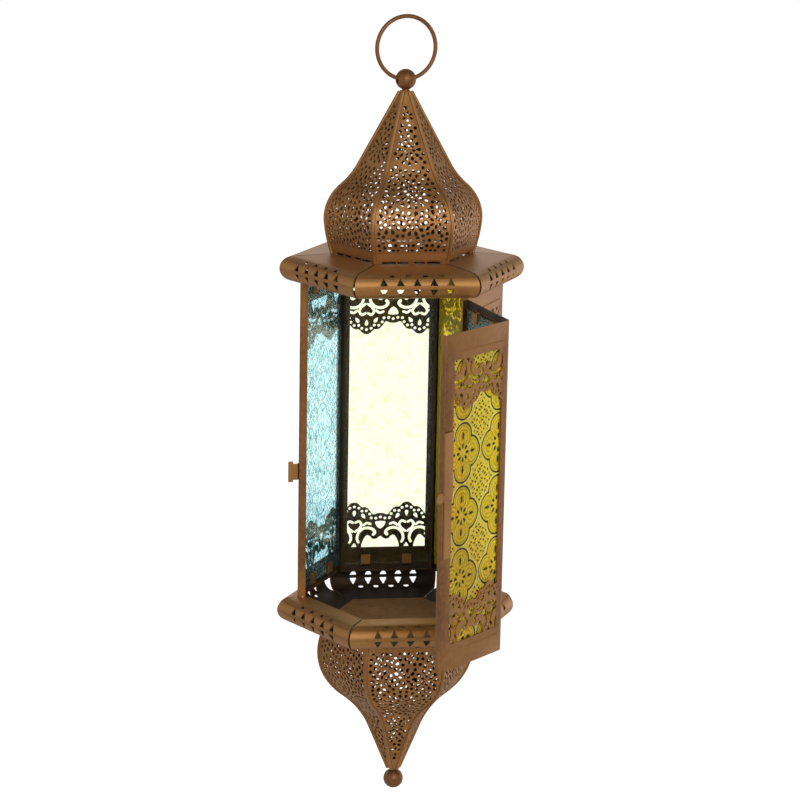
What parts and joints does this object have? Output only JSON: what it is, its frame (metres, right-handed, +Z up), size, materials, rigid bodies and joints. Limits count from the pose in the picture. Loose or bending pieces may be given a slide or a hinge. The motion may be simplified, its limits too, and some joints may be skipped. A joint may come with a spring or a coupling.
{
  "type": "hanging candle lantern",
  "caption": "Hexagonal hanging lantern of pierced bronze-painted sheet metal with an ogee dome, rolled eaves, coloured pressed-glass panes and a hinged corner door, hung from a ring.",
  "frame": {"origin": "inner top of the hanging ring, where a hook bears, on the lantern's upright axis", "axes": "+Z up along the lantern's axis, -Y out through the middle of the closed front door panel"},
  "size_m": [0.1578, 0.2414, 0.5138],
  "materials": {
    "bronze_paint": "satin antique bronze",
    "turquoise_glass": "pressed relief",
    "green_glass": "pressed relief",
    "amber_glass": "pressed relief"
  },
  "bodies": {
    "hanger": {"hanging_ring": "bronze_paint"},
    "lantern": {"top_finial": "bronze_paint", "bottom_finial": "bronze_paint", "dome_panel_1": "bronze_paint", "dome_panel_2": "bronze_paint", "dome_panel_3": "bronze_paint", "dome_panel_4": "bronze_paint", "dome_panel_5": "bronze_paint", "dome_panel_6": "bronze_paint", "onion_panel_1": "bronze_paint", "onion_panel_2": "bronze_paint", "onion_panel_3": "bronze_paint", "onion_panel_4": "bronze_paint", "onion_panel_5": "bronze_paint", "onion_panel_6": "bronze_paint", "top_eave_1": "bronze_paint", "top_eave_2": "bronze_paint", "top_eave_3": "bronze_paint", "top_eave_4": "bronze_paint", "top_eave_5": "bronze_paint", "top_eave_6": "bronze_paint", "bottom_eave_1": "bronze_paint", "bottom_eave_2": "bronze_paint", "bottom_eave_3": "bronze_paint", "bottom_eave_4": "bronze_paint", "bottom_eave_5": "bronze_paint", "bottom_eave_6": "bronze_paint", "dome_seam_strips": "bronze_paint", "onion_seam_strips": "bronze_paint", "floor_plate": "bronze_paint", "side_frame_1": "bronze_paint", "side_glass_1": "turquoise_glass", "side_frame_2": "bronze_paint", "side_glass_2": "amber_glass", "side_frame_3": "bronze_paint", "side_glass_3": "green_glass", "side_frame_4": "bronze_paint", "side_glass_4": "turquoise_glass", "body_hinge_leaf_upper": "bronze_paint", "hinge_pin_upper": "bronze_paint", "body_hinge_leaf_lower": "bronze_paint", "hinge_pin_lower": "bronze_paint", "door_catch": "bronze_paint"},
    "door": {"door_frame_front": "bronze_paint", "door_frame_side": "bronze_paint", "door_glass_front": "green_glass", "door_glass_side": "amber_glass", "door_hinge_leaf_upper": "bronze_paint", "door_hinge_leaf_lower": "bronze_paint", "latch_strap": "bronze_paint"}
  },
  "joints": [
    {"name": "ring_swing", "type": "hinge", "parent": "hanger", "child": "lantern", "pos_m": [0, 0, -0.0381], "axis": [0.9703, 0.2419, 0], "range_deg": [-120, 120]},
    {"name": "door_swing", "type": "hinge", "parent": "lantern", "child": "door", "pos_m": [0.034, -0.05889, -0.27135], "axis": [0, 0, 1], "range_deg": [-103.6, 121.4]}
  ]
}
